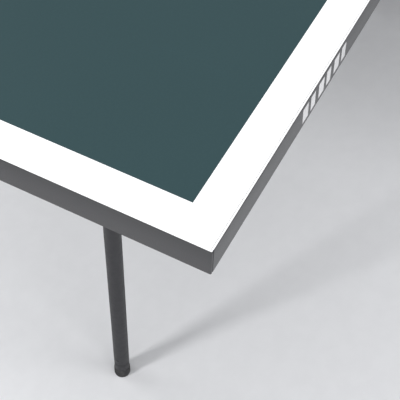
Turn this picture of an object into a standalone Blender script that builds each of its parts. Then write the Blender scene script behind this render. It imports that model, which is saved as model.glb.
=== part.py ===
"""Full-size folding ping pong table on a wheeled centre trolley.

Frame: origin on the floor under the middle of the net, X along the table's length, Y across it, +Z up, metres.
Half "a" is on +X and half "b" on -X; side "l" is +Y and side "r" is -Y.
Each half turns up about its own hinge line on the trolley. Its end legs hang from it on a parallelogram:
trolley lug - link rod - leg - half, so the legs stay upright while the half goes up.
"""
import bpy
import bmesh
import math
from mathutils import Matrix, Vector

# ---------------------------------------------------------------- driving dimensions (m)
TABLE_L, TABLE_W, TABLE_H = 2.740, 1.525, 0.760      # regulation playing surface
TOP_T = 0.017                                        # board thickness
BAND_T = 0.001                                       # edge band
CENTRE_GAP = 0.005                                   # between the halves at the net
FIT = 0.0003                                         # gap between touching pieces

PIVOT_X, PIVOT_Z = 0.350, 0.722                      # hinge line of a half on the trolley
RAIL_Y = 0.5325                                      # side frames, rails and legs share this plane
RAIL_W, RAIL_H, WALL = 0.028, 0.030, 0.0015
APRON_W, APRON_INSET, APRON_GAP = 0.020, 0.040, 0.030
CROSS_X, CROSS_W = 0.695, 0.028

LEG_X, LEG_R, LEG_WALL = 1.102, 0.009, 0.0015
LEG_PIVOT_Z, LEG_TOP, LEG_BOTTOM = 0.690, 0.700, 0.030
STRETCHER_Z = 0.560
LINK_DROP = 0.250                                    # both ends of a link rod lie this far under their pivots
ROD_R, ROD_Y = 0.004, 0.506

POST_X, POST_W, POST_TOP = 0.382, 0.032, 0.700
BASE_X, BASE_LO, BASE_HI = 0.410, 0.130, 0.160
CROSS_TUBE_Z, CROSS_TUBE_R = 0.400, 0.0125
BOW_Y, BOW_Z, BOW_R = 0.790, 0.690, 0.0125

CASTER_X, WHEEL_R, WHEEL_W, TRAIL = 0.350, 0.050, 0.026, 0.035
NET_H, POST_Y = 0.1525, 0.915
LOCK_X, LOCK_Z = -0.0033, -0.060                     # lock pin, from the hinge line

UNDER = TABLE_H - TOP_T                              # underside of the board
RAIL_TOP = UNDER - FIT
RAIL_BOTTOM = RAIL_TOP - RAIL_H
IN_X = CENTRE_GAP / 2
OUT_X = TABLE_L / 2
SEG = 16

# ---------------------------------------------------------------- scene
for o in list(bpy.data.objects):
    bpy.data.objects.remove(o, do_unlink=True)

PARTS = bpy.data.collections.new("ping_pong_table")
CUTTERS = bpy.data.collections.new("cutters")
bpy.context.scene.collection.children.link(PARTS)
bpy.context.scene.collection.children.link(CUTTERS)


def material(name, colour, roughness, metallic=0.0):
    m = bpy.data.materials.new(name)
    m.use_nodes = True
    b = m.node_tree.nodes["Principled BSDF"]
    b.inputs["Base Color"].default_value = (*colour, 1)
    b.inputs["Roughness"].default_value = roughness
    b.inputs["Metallic"].default_value = metallic
    return m


GREEN = material("playing_surface", (0.054, 0.104, 0.112), 0.55)
GREY_BAND = material("edge_band", (0.115, 0.115, 0.125), 0.5)
FRAME_PAINT = material("frame_paint", (0.045, 0.045, 0.05), 0.45, 0.3)
LEG_PAINT = material("leg_paint", (0.035, 0.035, 0.038), 0.4, 0.3)
ZINC = material("zinc_steel", (0.55, 0.55, 0.56), 0.35, 1.0)
BLACK_RUBBER = material("black_rubber", (0.02, 0.02, 0.02), 0.8)
WHEEL_PLASTIC = material("wheel_plastic", (0.09, 0.09, 0.095), 0.5)
RED_PLASTIC = material("red_plastic", (0.55, 0.03, 0.02), 0.4)
NET_CLOTH = material("net_cloth", (0.03, 0.04, 0.05), 0.9)
CORD_WHITE = material("cord_white", (0.8, 0.8, 0.8), 0.8)


def empty(name, location, parent=None):
    e = bpy.data.objects.new(name, None)
    e.empty_display_size = 0.05
    e.location = location
    PARTS.objects.link(e)
    bpy.context.view_layer.update()
    if parent:
        attach(e, parent)
    return e


def attach(obj, parent):
    """Parents obj and keeps where it stands."""
    bpy.context.view_layer.update()
    world = obj.matrix_world.copy()
    obj.parent = parent
    obj.matrix_parent_inverse = parent.matrix_world.inverted()
    obj.matrix_world = world


def place(obj, name, mat=None, parent=None):
    """Names obj and files it as a part, or as a cutter when it has no material."""
    obj.name = name
    obj.data.name = name
    for c in list(obj.users_collection):
        c.objects.unlink(obj)
    if mat is None:
        CUTTERS.objects.link(obj)
        obj.hide_render = True
        obj.display_type = "WIRE"
    else:
        PARTS.objects.link(obj)
        obj.data.materials.clear()
        obj.data.materials.append(mat)
        if parent:
            attach(obj, parent)
    return obj


def box(name, lo, hi, mat=None, parent=None, bevel=0.0):
    lo, hi = Vector([min(a, b) for a, b in zip(lo, hi)]), Vector([max(a, b) for a, b in zip(lo, hi)])
    bpy.ops.mesh.primitive_cube_add(size=1, location=(lo + hi) / 2)
    o = bpy.context.object
    o.scale = hi - lo
    bpy.ops.object.transform_apply(location=False, rotation=False, scale=True)
    place(o, name, mat, parent)
    if bevel:
        add_bevel(o, bevel)
    return o


AXIS_TURN = {"X": (0, math.pi / 2, 0), "Y": (math.pi / 2, 0, 0), "Z": (0, 0, 0)}


def cylinder(name, axis, centre, radius, length, mat=None, parent=None, sides=SEG, phase=0.0):
    bpy.ops.mesh.primitive_cylinder_add(vertices=sides, radius=radius, depth=length, location=centre, rotation=AXIS_TURN[axis])
    o = bpy.context.object
    if phase:
        o.data.transform(Matrix.Rotation(phase, 4, "Z"))
    bpy.ops.object.transform_apply(location=False, rotation=True, scale=False)
    place(o, name, mat, parent)
    return o


def plate(name, outline, y, thickness, mat=None, parent=None):
    """A flat plate in the XZ plane: a filled 2D curve, extruded by half its thickness each way along Y."""
    curve = bpy.data.curves.new(name, "CURVE")
    curve.dimensions = "2D"
    curve.fill_mode = "BOTH"
    curve.extrude = thickness / 2
    s = curve.splines.new("POLY")
    s.points.add(len(outline) - 1)
    for p, (x, z) in zip(s.points, outline):
        p.co = (x, z, 0, 1)
    s.use_cyclic_u = True
    o = bpy.data.objects.new(name, curve)
    o.rotation_euler = (math.pi / 2, 0, 0)
    o.location = (0, y, 0)
    CUTTERS.objects.link(o)
    return meshed(o, name, mat, parent)


def meshed(curve_obj, name, mat=None, parent=None):
    """The curve object's evaluated shape as a closed mesh object, its caps welded."""
    bpy.context.view_layer.update()
    graph = bpy.context.evaluated_depsgraph_get()
    mesh = bpy.data.meshes.new_from_object(curve_obj.evaluated_get(graph))
    world = curve_obj.matrix_world.copy()
    bpy.data.objects.remove(curve_obj, do_unlink=True)
    bm = bmesh.new()
    bm.from_mesh(mesh)
    bmesh.ops.remove_doubles(bm, verts=bm.verts, dist=0.00002)
    bmesh.ops.recalc_face_normals(bm, faces=bm.faces)
    bmesh.ops.dissolve_limit(bm, angle_limit=0.001, verts=bm.verts, edges=bm.edges)
    bm.to_mesh(mesh)
    bm.free()
    o = bpy.data.objects.new(name, mesh)
    o.matrix_world = world
    PARTS.objects.link(o)
    return place(o, name, mat, parent)


def tube_along(name, points, radius, mat=None, parent=None, sides_res=3, caps=True):
    """A round bar along a polyline that already holds its bends."""
    curve = bpy.data.curves.new(name, "CURVE")
    curve.dimensions = "3D"
    curve.bevel_depth = radius
    curve.bevel_resolution = sides_res
    curve.use_fill_caps = caps
    s = curve.splines.new("POLY")
    s.points.add(len(points) - 1)
    for p, co in zip(s.points, points):
        p.co = (*co, 1)
    o = bpy.data.objects.new(name, curve)
    CUTTERS.objects.link(o)
    return meshed(o, name, mat, parent)


def bent(points, radius, steps=5):
    """The polyline through these corners with each inner corner rounded to this bend radius."""
    pts = [Vector(p) for p in points]
    out = [pts[0]]
    for before, corner, after in zip(pts, pts[1:], pts[2:]):
        a, b = (before - corner).normalized(), (after - corner).normalized()
        half = a.angle(b) / 2
        back = radius / math.tan(half)
        centre = corner + (a + b).normalized() * (radius / math.sin(half))
        start, end = corner + a * back, corner + b * back
        u, v = start - centre, end - centre
        total = u.angle(v)
        for i in range(steps + 1):
            t = i / steps
            out.append(centre + (u * math.sin((1 - t) * total) + v * math.sin(t * total)) / math.sin(total))
    out.append(pts[-1])
    return out


def arc(cx, cz, r, a0, a1, steps=4):
    return [(cx + r * math.cos(math.radians(a0 + (a1 - a0) * i / steps)),
             cz + r * math.sin(math.radians(a0 + (a1 - a0) * i / steps))) for i in range(steps + 1)]


def join(obj, others):
    for i, other in enumerate(others):
        m = obj.modifiers.new(f"join_{i}", "BOOLEAN")
        m.operation, m.solver, m.object = "UNION", "EXACT", other


def cut(obj, cutters):
    for i, c in enumerate(cutters):
        m = obj.modifiers.new(f"cut_{i}", "BOOLEAN")
        m.operation, m.solver, m.object = "DIFFERENCE", "EXACT", c


def add_bevel(obj, width, segments=1, angle=40):
    m = obj.modifiers.new("edge", "BEVEL")
    m.width, m.segments, m.limit_method, m.angle_limit = width, segments, "ANGLE", math.radians(angle)
    m.use_clamp_overlap = True


def smooth(obj, angle=35):
    obj.data.shade_smooth()
    obj.data.set_sharp_from_angle(angle=math.radians(angle))


def turned(name, profile, centre, axis, mat, parent=None, steps=24):
    """A piece turned about its axis from (radius, height) points; a section off the axis is joined round."""
    mesh = bpy.data.meshes.new(name)
    bm = bmesh.new()
    verts = [bm.verts.new((r, 0, h)) for r, h in profile]
    for a, b in zip(verts, verts[1:]):
        bm.edges.new((a, b))
    if profile[0][0] > 0:
        bm.edges.new((verts[-1], verts[0]))
    bm.to_mesh(mesh)
    bm.free()
    o = bpy.data.objects.new(name, mesh)
    PARTS.objects.link(o)
    m = o.modifiers.new("turn", "SCREW")
    m.steps = m.render_steps = steps
    m.use_merge_vertices = True
    m.merge_threshold = 0.00001
    m.use_normal_calculate = True
    o.rotation_euler = AXIS_TURN[axis]
    o.location = centre
    place(o, name, mat, parent)
    return o


# ---------------------------------------------------------------- bodies
trolley = empty("trolley", (0, 0, 0))

SIDES = (("l", 1), ("r", -1))
HALVES = (("a", 1), ("b", -1))


def side_frame(tag, sy):
    """Welded side frame of the trolley: base tube, two posts, hinge plates and link lugs, hollow inside."""
    y = sy * RAIL_Y
    hw, t = POST_W / 2, 0.002
    frame = box(f"side_frame_{tag}", (-BASE_X, y - hw, BASE_LO), (BASE_X, y + hw, BASE_HI), FRAME_PAINT, trolley)
    added, holes = [], []
    for half, sx in HALVES:
        px, hx = sx * POST_X, sx * PIVOT_X
        added.append(box(f"c_post_{half}{tag}", (px - hw, y - hw, BASE_LO + 0.006), (px + hw, y + hw, POST_TOP)))
        # hinge plates: round round the hinge line, down the post
        shape = arc(0, 0, 0.016, 60, 180) + [(-0.016, -0.074), (-0.008, -0.082), (0.020, -0.118), (0.0465, -0.118), (0.0465, -0.018), (0.040, -0.0125)]
        outline = [(hx + sx * x, PIVOT_Z + z) for x, z in shape]
        for s in (1, -1):
            added.append(plate(f"c_plate_{half}{tag}{s}", outline, y + s * 0.017, 0.004))
        # lug for the link rod, on the inner side
        lug = arc(0, 0, 0.012, 90, 270) + [(0.026, -0.012), (0.026, 0.012)]
        added.append(plate(f"c_lug_{half}{tag}", [(hx + sx * x, PIVOT_Z - LINK_DROP + z) for x, z in lug], y - sy * 0.01425, 0.0045))
        holes.append(cylinder(f"c_hinge_{half}{tag}", "Y", (hx, y, PIVOT_Z), 0.00535, 0.060))
        holes.append(cylinder(f"c_lughole_{half}{tag}", "Y", (hx, y - sy * 0.014, PIVOT_Z - LINK_DROP), ROD_R + 0.0004, 0.012, sides=12))
        holes.append(cylinder(f"c_stem_{half}{tag}", "Z", (sx * CASTER_X, y, BASE_LO), 0.0065, 0.010, sides=12))
        # inside of the post
        holes.append(box(f"c_postin_{half}{tag}", (px - hw + t, y - hw + t, BASE_LO + 0.014), (px + hw - t, y + hw - t, POST_TOP - t)))
        if (half, tag) in (("a", "l"), ("b", "r")):
            added.append(cylinder(f"c_boss_{half}{tag}", "Y", (hx + sx * LOCK_X, y + sy * 0.022, PIVOT_Z + LOCK_Z), 0.011, 0.010, sides=12))
            holes.append(cylinder(f"c_lockhole_{half}{tag}", "Y", (hx + sx * LOCK_X, y + sy * 0.022, PIVOT_Z + LOCK_Z), 0.0044, 0.030, sides=12))
    # the base tube is open at both ends, and its inside runs up into the posts
    holes.append(box(f"c_basein_{tag}", (-BASE_X - 0.02, y - hw + t, BASE_LO + t), (BASE_X + 0.02, y + hw - t, BASE_HI - t)))
    join(frame, added)
    cut(frame, holes)
    smooth(frame)
    return frame


for tag, sy in SIDES:
    side_frame(tag, sy)

# cross tubes between the posts
for half, sx in HALVES:
    reach = RAIL_Y - POST_W / 2 - FIT
    tube = cylinder(f"cross_tube_{half}", "Y", (sx * POST_X, 0, CROSS_TUBE_Z), CROSS_TUBE_R, 2 * reach, FRAME_PAINT, trolley)
    cut(tube, [cylinder(f"c_crosstube_{half}", "Y", (sx * POST_X, 0, CROSS_TUBE_Z), CROSS_TUBE_R - 0.0015, 2 * reach + 0.02)])
    smooth(tube)

# net bows: a bent tube on each side that carries the net post, clear of the swinging halves
for tag, sy in SIDES:
    start = RAIL_Y + 0.019 + FIT
    path = bent([(POST_X, sy * start, BOW_Z), (POST_X, sy * BOW_Y, BOW_Z), (-POST_X, sy * BOW_Y, BOW_Z), (-POST_X, sy * start, BOW_Z)], 0.075, 4)
    bow = tube_along(f"net_bow_{tag}", path, BOW_R, FRAME_PAINT, trolley, sides_res=2, caps=False)
    wall = bow.modifiers.new("wall", "SOLIDIFY")
    wall.thickness, wall.offset = 0.0015, -1
    smooth(bow)

# ---------------------------------------------------------------- halves
for half, sx in HALVES:
    pivot = empty(f"half_{half}_hinge", (sx * PIVOT_X, 0, PIVOT_Z), trolley)
    board = box(f"board_{half}", (sx * (IN_X + BAND_T + FIT), -TABLE_W / 2 + BAND_T + FIT, UNDER),
                (sx * (OUT_X - BAND_T - FIT), TABLE_W / 2 - BAND_T - FIT, TABLE_H), GREEN, pivot)
    band = box(f"edge_band_{half}", (sx * IN_X, -TABLE_W / 2, UNDER), (sx * OUT_X, TABLE_W / 2, TABLE_H), GREY_BAND, pivot)
    cut(band, [box(f"c_band_{half}", (sx * (IN_X + BAND_T), -TABLE_W / 2 + BAND_T, UNDER - 0.01),
                   (sx * (OUT_X - BAND_T), TABLE_W / 2 - BAND_T, TABLE_H + 0.01))])

    # apron: a ring of steel channel, open upwards against the board
    ax0, ax1, ay = APRON_GAP + IN_X, OUT_X - APRON_INSET, TABLE_W / 2 - APRON_INSET
    apron = box(f"apron_{half}", (sx * ax0, -ay, RAIL_BOTTOM), (sx * ax1, ay, RAIL_TOP), FRAME_PAINT, pivot)
    w = APRON_W
    groove = box(f"c_groove_{half}", (sx * (ax0 + WALL), -ay + WALL, RAIL_BOTTOM + WALL), (sx * (ax1 - WALL), ay - WALL, RAIL_TOP + 0.01))
    island = box(f"c_island_{half}", (sx * (ax0 + w - WALL), -ay + w - WALL, RAIL_BOTTOM - 0.02), (sx * (ax1 - w + WALL), ay - w + WALL, RAIL_TOP + 0.02))
    cut(groove, [island])
    cut(apron, [groove, box(f"c_ring_{half}", (sx * (ax0 + w), -ay + w, RAIL_BOTTOM - 0.01), (sx * (ax1 - w), ay - w, RAIL_TOP + 0.01))])

    # hinge rails: channels that carry the trolley hinge and the leg hinge
    rx0, rx1 = ax0 + w + FIT, ax1 - w - FIT
    for tag, sy in SIDES:
        y, rw = sy * RAIL_Y, RAIL_W / 2
        rail = box(f"hinge_rail_{half}{tag}", (sx * rx0, y - rw, RAIL_BOTTOM), (sx * rx1, y + rw, RAIL_TOP), FRAME_PAINT, pivot)
        ears = []
        shape = [(LEG_X - 0.020, RAIL_BOTTOM + 0.0010), (LEG_X - 0.013, LEG_PIVOT_Z)] + arc(LEG_X, LEG_PIVOT_Z, 0.013, 200, 340, 3) + [(LEG_X + 0.013, LEG_PIVOT_Z), (LEG_X + 0.020, RAIL_BOTTOM + 0.0010)]
        for s in (1, -1):
            ears.append(plate(f"c_ear_{half}{tag}{s}", [(sx * x, z) for x, z in shape], y + s * 0.0126, 0.0024))
        join(rail, ears)
        holes = [
            box(f"c_channel_{half}{tag}", (sx * (rx0 - 0.01), y - rw + WALL, RAIL_BOTTOM + WALL), (sx * (rx1 + 0.01), y + rw - WALL, RAIL_TOP + 0.01)),
            cylinder(f"c_railhinge_{half}{tag}", "Y", (sx * PIVOT_X, y, PIVOT_Z), 0.00535, 0.050),
            cylinder(f"c_earhole_{half}{tag}", "Y", (sx * LEG_X, y, LEG_PIVOT_Z), 0.00435, 0.050, sides=12),
        ]
        if (half, tag) in (("a", "l"), ("b", "r")):
            # hole that the lock pin enters when the half stands up
            holes.append(cylinder(f"c_lockseat_{half}{tag}", "Y", (sx * (PIVOT_X - 0.060), y + sy * rw, PIVOT_Z - 0.003), 0.0050, 0.012, sides=12))
        cut(rail, holes)

        # hinge bolt of the half, and hinge bolt of the leg
        bolt = cylinder(f"half_bolt_{half}{tag}", "Y", (sx * PIVOT_X, y, PIVOT_Z), 0.005, 0.052, ZINC, trolley, sides=12)
        join(bolt, [cylinder(f"c_head_{half}{tag}", "Y", (sx * PIVOT_X, y + sy * (0.019 + FIT + 0.0035), PIVOT_Z), 0.0085, 0.007, sides=6),
                    cylinder(f"c_nut_{half}{tag}", "Y", (sx * PIVOT_X, y - sy * (0.019 + FIT + 0.0035), PIVOT_Z), 0.0085, 0.007, sides=6)])
        smooth(bolt)
        pin = cylinder(f"leg_bolt_{half}{tag}", "Y", (sx * LEG_X, y, LEG_PIVOT_Z), 0.004, 0.038, ZINC, pivot, sides=12)
        join(pin, [cylinder(f"c_lhead_{half}{tag}", "Y", (sx * LEG_X, y + sy * (0.0138 + FIT + 0.002), LEG_PIVOT_Z), 0.0068, 0.004, sides=6),
                   cylinder(f"c_lnut_{half}{tag}", "Y", (sx * LEG_X, y - sy * (0.0138 + FIT + 0.002), LEG_PIVOT_Z), 0.0068, 0.004, sides=6)])
        smooth(pin)

    inner = RAIL_Y - RAIL_W / 2 - FIT
    cross = box(f"cross_rail_{half}", (sx * (CROSS_X - CROSS_W / 2), -inner, RAIL_BOTTOM), (sx * (CROSS_X + CROSS_W / 2), inner, RAIL_TOP), FRAME_PAINT, pivot)
    cut(cross, [box(f"c_cross_{half}", (sx * (CROSS_X - CROSS_W / 2 + WALL), -inner - 0.01, RAIL_BOTTOM + WALL),
                    (sx * (CROSS_X + CROSS_W / 2 - WALL), inner + 0.01, RAIL_TOP + 0.01))])

    # leg frame: two tube legs and a stretcher, with a nut block in each leg's foot end
    leg_hinge = empty(f"legs_{half}_hinge", (sx * LEG_X, 0, LEG_PIVOT_Z), pivot)
    x = sx * LEG_X
    legs = cylinder(f"leg_frame_{half}", "Z", (x, RAIL_Y, (LEG_TOP + LEG_BOTTOM) / 2), LEG_R, LEG_TOP - LEG_BOTTOM, LEG_PAINT, leg_hinge)
    join(legs, [cylinder(f"c_stretch_{half}", "Y", (x, 0, STRETCHER_Z), 0.008, 2 * RAIL_Y, sides=12, phase=0.01),
                cylinder(f"c_leg2_{half}", "Z", (x, -RAIL_Y, (LEG_TOP + LEG_BOTTOM) / 2), LEG_R, LEG_TOP - LEG_BOTTOM)])
    holes = [cylinder(f"c_stretchin_{half}", "Y", (x, 0, STRETCHER_Z), 0.0065, 2 * RAIL_Y, sides=12, phase=0.01)]
    for tag, sy in SIDES:
        y = sy * RAIL_Y
        holes += [
            cylinder(f"c_bore_{half}{tag}", "Z", (x, y, (LEG_BOTTOM + 0.014 + LEG_TOP + 0.01) / 2), LEG_R - LEG_WALL, LEG_TOP + 0.01 - LEG_BOTTOM - 0.014),
            cylinder(f"c_nutbore_{half}{tag}", "Z", (x, y, LEG_BOTTOM), 0.0044, 0.060, sides=12),
            cylinder(f"c_legpin_{half}{tag}", "Y", (x, y, LEG_PIVOT_Z), 0.00435, 0.060, sides=12),
            cylinder(f"c_linkpin_{half}{tag}", "Y", (x, y, LEG_PIVOT_Z - LINK_DROP), ROD_R + 0.0004, 0.060, sides=12),
        ]
    cut(legs, holes)
    smooth(legs)

    for tag, sy in SIDES:
        y = sy * RAIL_Y
        # levelling foot: rubber-soled pad on a threaded stud that screws into the leg
        foot = turned(f"foot_{half}{tag}", [(0.0, 0.0), (0.0090, 0.0), (0.0098, 0.0020), (0.0098, 0.0130), (0.0080, 0.0160),
                                            (0.0080, LEG_BOTTOM - FIT), (0.004, LEG_BOTTOM - FIT), (0.004, 0.0700), (0.0, 0.0700)][::-1], (x, y, 0), "Z", BLACK_RUBBER, leg_hinge, steps=16)
        smooth(foot)

    # link rods: bent round bar, a pressed cap holds each end
    link_hinge = empty(f"links_{half}_hinge", (sx * PIVOT_X, 0, PIVOT_Z - LINK_DROP), trolley)
    for tag, sy in SIDES:
        z4 = PIVOT_Z - LINK_DROP
        z3 = LEG_PIVOT_Z - LINK_DROP
        path = bent([(sx * PIVOT_X, sy * 0.5260, z4), (sx * PIVOT_X, sy * ROD_Y, z4), (sx * LEG_X, sy * ROD_Y, z3), (sx * LEG_X, sy * 0.5480, z3)], 0.008, 2)
        rod = tube_along(f"link_rod_{half}{tag}", path, ROD_R, ZINC, link_hinge, sides_res=1)
        join(rod, [cylinder(f"c_cap4_{half}{tag}", "Y", (sx * PIVOT_X, sy * 0.5230, z4), 0.007, 0.0020, sides=12),
                   cylinder(f"c_cap3_{half}{tag}", "Y", (sx * LEG_X, sy * 0.5450, z3), 0.007, 0.0020, sides=12)])
        smooth(rod)

# ---------------------------------------------------------------- storage locks: pull knobs, one on each half
for (half, sx), (tag, sy) in ((HALVES[0], SIDES[0]), (HALVES[1], SIDES[1])):
    cx, cz = sx * (PIVOT_X + LOCK_X), PIVOT_Z + LOCK_Z
    y0 = sy * RAIL_Y
    knob = cylinder(f"lock_knob_{half}", "Y", (cx, y0 + sy * 0.0305, cz), 0.004, 0.030, RED_PLASTIC, trolley, sides=12)
    join(knob, [cylinder(f"c_knob_{half}", "Y", (cx, y0 + sy * 0.0440, cz), 0.013, 0.012, sides=16),
                cylinder(f"c_knobneck_{half}", "Y", (cx, y0 + sy * 0.0380, cz), 0.0075, 0.004, sides=12)])
    smooth(knob)

# ---------------------------------------------------------------- casters
for half, sx in HALVES:
    for tag, sy in SIDES:
        cx, cy = sx * CASTER_X, sy * RAIL_Y
        wx = cx - sx * TRAIL
        swivel = empty(f"caster_{half}{tag}_swivel", (cx, cy, BASE_LO), trolley)
        fork = cylinder(f"caster_fork_{half}{tag}", "Z", (cx, cy, 0.1195), 0.024, 0.013, ZINC, swivel, sides=16)
        added = [cylinder(f"c_washer_{half}{tag}", "Z", (cx, cy, 0.1275), 0.011, 0.0044, sides=12),
                 cylinder(f"c_fstem_{half}{tag}", "Z", (cx, cy, 0.1380), 0.006, 0.030, sides=12),
                 box(f"c_fplate_{half}{tag}", (cx + sx * 0.022, cy - 0.0180, 0.1085), (cx - sx * 0.052, cy + 0.0180, 0.1140))]
        # side plates: from the swivel down to the axle, with an ear for the brake
        shape = [(0.022, 0.1135), (0.018, 0.098)] + [(-TRAIL + 0.013 * math.cos(a), WHEEL_R + 0.013 * math.sin(a)) for a in [math.radians(d) for d in (0, -45, -90, -135, -180)]] \
            + [(-0.064, 0.097)] + [(-0.060 + 0.007 * math.cos(a), 0.105 + 0.007 * math.sin(a)) for a in [math.radians(d) for d in (200, 145, 100)]] + [(-0.052, 0.1135)]
        for s in (1, -1):
            added.append(plate(f"c_fside_{half}{tag}{s}", [(cx + sx * px, pz) for px, pz in shape], cy + s * 0.0170, 0.003))
        join(fork, added)
        cut(fork, [cylinder(f"c_axlehole_{half}{tag}", "Y", (wx, cy, WHEEL_R), 0.0043, 0.060, sides=12),
                   cylinder(f"c_brakehole_{half}{tag}", "Y", (cx - sx * 0.060, cy, 0.105), 0.0034, 0.060, sides=12)])
        smooth(fork)
        spin = empty(f"wheel_{half}{tag}_axis", (wx, cy, WHEEL_R), swivel)
        hw = WHEEL_W / 2
        wheel = turned(f"wheel_{half}{tag}", [(0.0044, -hw - 0.001), (0.0044, hw + 0.001), (0.010, hw + 0.001), (0.012, hw - 0.005), (0.036, hw - 0.005), (0.037, hw),
                                              (0.047, hw), (0.050, hw - 0.005),
                                              (0.050, -hw + 0.005), (0.047, -hw), (0.037, -hw), (0.036, -hw + 0.005), (0.012, -hw + 0.005), (0.010, -hw - 0.001)][::-1],
                       (wx, cy, WHEEL_R), "Y", WHEEL_PLASTIC, spin, steps=20)
        smooth(wheel)
        axle = cylinder(f"axle_{half}{tag}", "Y", (wx, cy, WHEEL_R), 0.004, 0.044, ZINC, swivel, sides=12)
        join(axle, [cylinder(f"c_axhead_{half}{tag}", "Y", (wx, cy + 0.0185 + FIT + 0.002, WHEEL_R), 0.0070, 0.004, sides=6),
                    cylinder(f"c_axnut_{half}{tag}", "Y", (wx, cy - 0.0185 - FIT - 0.002, WHEEL_R), 0.0070, 0.004, sides=6)])
        smooth(axle)
        brake_axis = empty(f"brake_{half}{tag}_axis", (cx - sx * 0.060, cy, 0.105), swivel)
        lever = cylinder(f"brake_lever_{half}{tag}", "Y", (cx - sx * 0.060, cy, 0.105), 0.003, 0.0370, RED_PLASTIC, brake_axis, sides=12)
        pad = plate(f"c_lever_{half}{tag}", [(cx - sx * px, pz) for px, pz in ((0.0560, 0.1010), (0.0545, 0.1060), (0.0570, 0.1085), (0.0660, 0.1115), (0.1000, 0.1205), (0.1050, 0.1170), (0.0760, 0.1060), (0.0730, 0.0965), (0.0700, 0.0955))], cy, 0.0270)
        join(lever, [pad])
        smooth(lever)

# ---------------------------------------------------------------- net set
for tag, sy in SIDES:
    post = box(f"net_post_{tag}", (-0.022, sy * 0.772, BOW_Z - 0.020), (0.022, sy * 0.811, BOW_Z + 0.021), FRAME_PAINT, trolley)
    join(post, [box(f"c_arm_{tag}", (-0.012, sy * 0.800, BOW_Z + 0.008), (0.012, sy * 0.921, BOW_Z + 0.016)),
                cylinder(f"c_np_{tag}", "Z", (0, sy * POST_Y, (0.694 + TABLE_H + NET_H + 0.004) / 2), 0.0100, TABLE_H + NET_H + 0.004 - 0.694),
                cylinder(f"c_npcap_{tag}", "Z", (0, sy * POST_Y, TABLE_H + NET_H + 0.0030), 0.0115, 0.0056)])
    cut(post, [cylinder(f"c_collar_{tag}", "X", (0, sy * BOW_Y, BOW_Z), BOW_R + 0.0004, 0.060),
               cylinder(f"c_screwhole_{tag}", "Z", (0, sy * BOW_Y, BOW_Z - 0.020), 0.0044, 0.024, sides=12)])
    smooth(post)
    axis = empty(f"clamp_{tag}_axis", (0, sy * BOW_Y, BOW_Z - 0.030), trolley)
    screw = cylinder(f"clamp_screw_{tag}", "Z", (0, sy * BOW_Y, BOW_Z - BOW_R - 0.0006 - 0.0125), 0.004, 0.025, BLACK_RUBBER, axis, sides=12)
    join(screw, [cylinder(f"c_wing_{tag}", "Z", (0, sy * BOW_Y, BOW_Z - 0.0400), 0.0130, 0.0120, sides=8)])
    smooth(screw)

reach = POST_Y - 0.010 - 0.0006
box("net", (-0.0015, -reach, TABLE_H + 0.0030), (0.0015, reach, TABLE_H + NET_H - 0.0045), NET_CLOTH, trolley)
cord = cylinder("net_cord", "Y", (0, 0, TABLE_H + NET_H - 0.0024), 0.0015, 2 * reach, CORD_WHITE, trolley, sides=8)
smooth(cord)
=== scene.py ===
import math

import bmesh
import bpy
from mathutils import Matrix, Vector


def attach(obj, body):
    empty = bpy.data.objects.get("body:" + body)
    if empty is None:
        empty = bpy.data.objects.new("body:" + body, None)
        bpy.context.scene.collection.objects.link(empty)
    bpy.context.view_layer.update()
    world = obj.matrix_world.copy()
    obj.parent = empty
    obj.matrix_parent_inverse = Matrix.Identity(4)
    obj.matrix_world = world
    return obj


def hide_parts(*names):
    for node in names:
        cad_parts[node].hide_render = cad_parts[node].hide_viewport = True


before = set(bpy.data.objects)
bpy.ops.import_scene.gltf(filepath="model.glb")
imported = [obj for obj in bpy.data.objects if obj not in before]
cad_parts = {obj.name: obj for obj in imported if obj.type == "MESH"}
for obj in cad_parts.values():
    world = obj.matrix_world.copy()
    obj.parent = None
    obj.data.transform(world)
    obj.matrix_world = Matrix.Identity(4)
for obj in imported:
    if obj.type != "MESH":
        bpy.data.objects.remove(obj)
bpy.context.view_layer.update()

SCENE = bpy.context.scene
HALVES = (("a", 1), ("b", -1))
SIDES = (("l", 1), ("r", -1))

# sizes shared with the CAD, in metres
L2, W2, TOP, UNDER = 1.370, 0.7625, 0.760, 0.743
IN_X = 0.0025
RAIL_Y = 0.5325
PIVOT = (0.350, 0.722)
LEG_X, LEG_PIVOT_Z, LEG_TOP, LEG_BOTTOM = 1.102, 0.690, 0.700, 0.030
LINK_DROP, ROD_Y, ROD_R = 0.250, 0.506, 0.004
LINE_W, CENTRE_LINE = 0.020, 0.003


# ------------------------------------------------------------------ camera
cam_data = bpy.data.cameras.new("camera")
cam_data.sensor_width = 36.0
cam_data.lens = 92.18
cam_data.clip_start, cam_data.clip_end = 0.05, 60
cam = bpy.data.objects.new("camera", cam_data)
SCENE.collection.objects.link(cam)
right = Vector((-0.46083155, 0.88711673, 0.02565503))
down = Vector((0.69852011, 0.38038958, -0.60611338))
ahead = Vector((-0.54745223, -0.26139561, -0.7949644))
cam.matrix_world = Matrix.Translation((1.597776, 0.864289, 1.123991)) @ Matrix((right, -down, -ahead)).transposed().to_4x4()
SCENE.camera = cam


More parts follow.
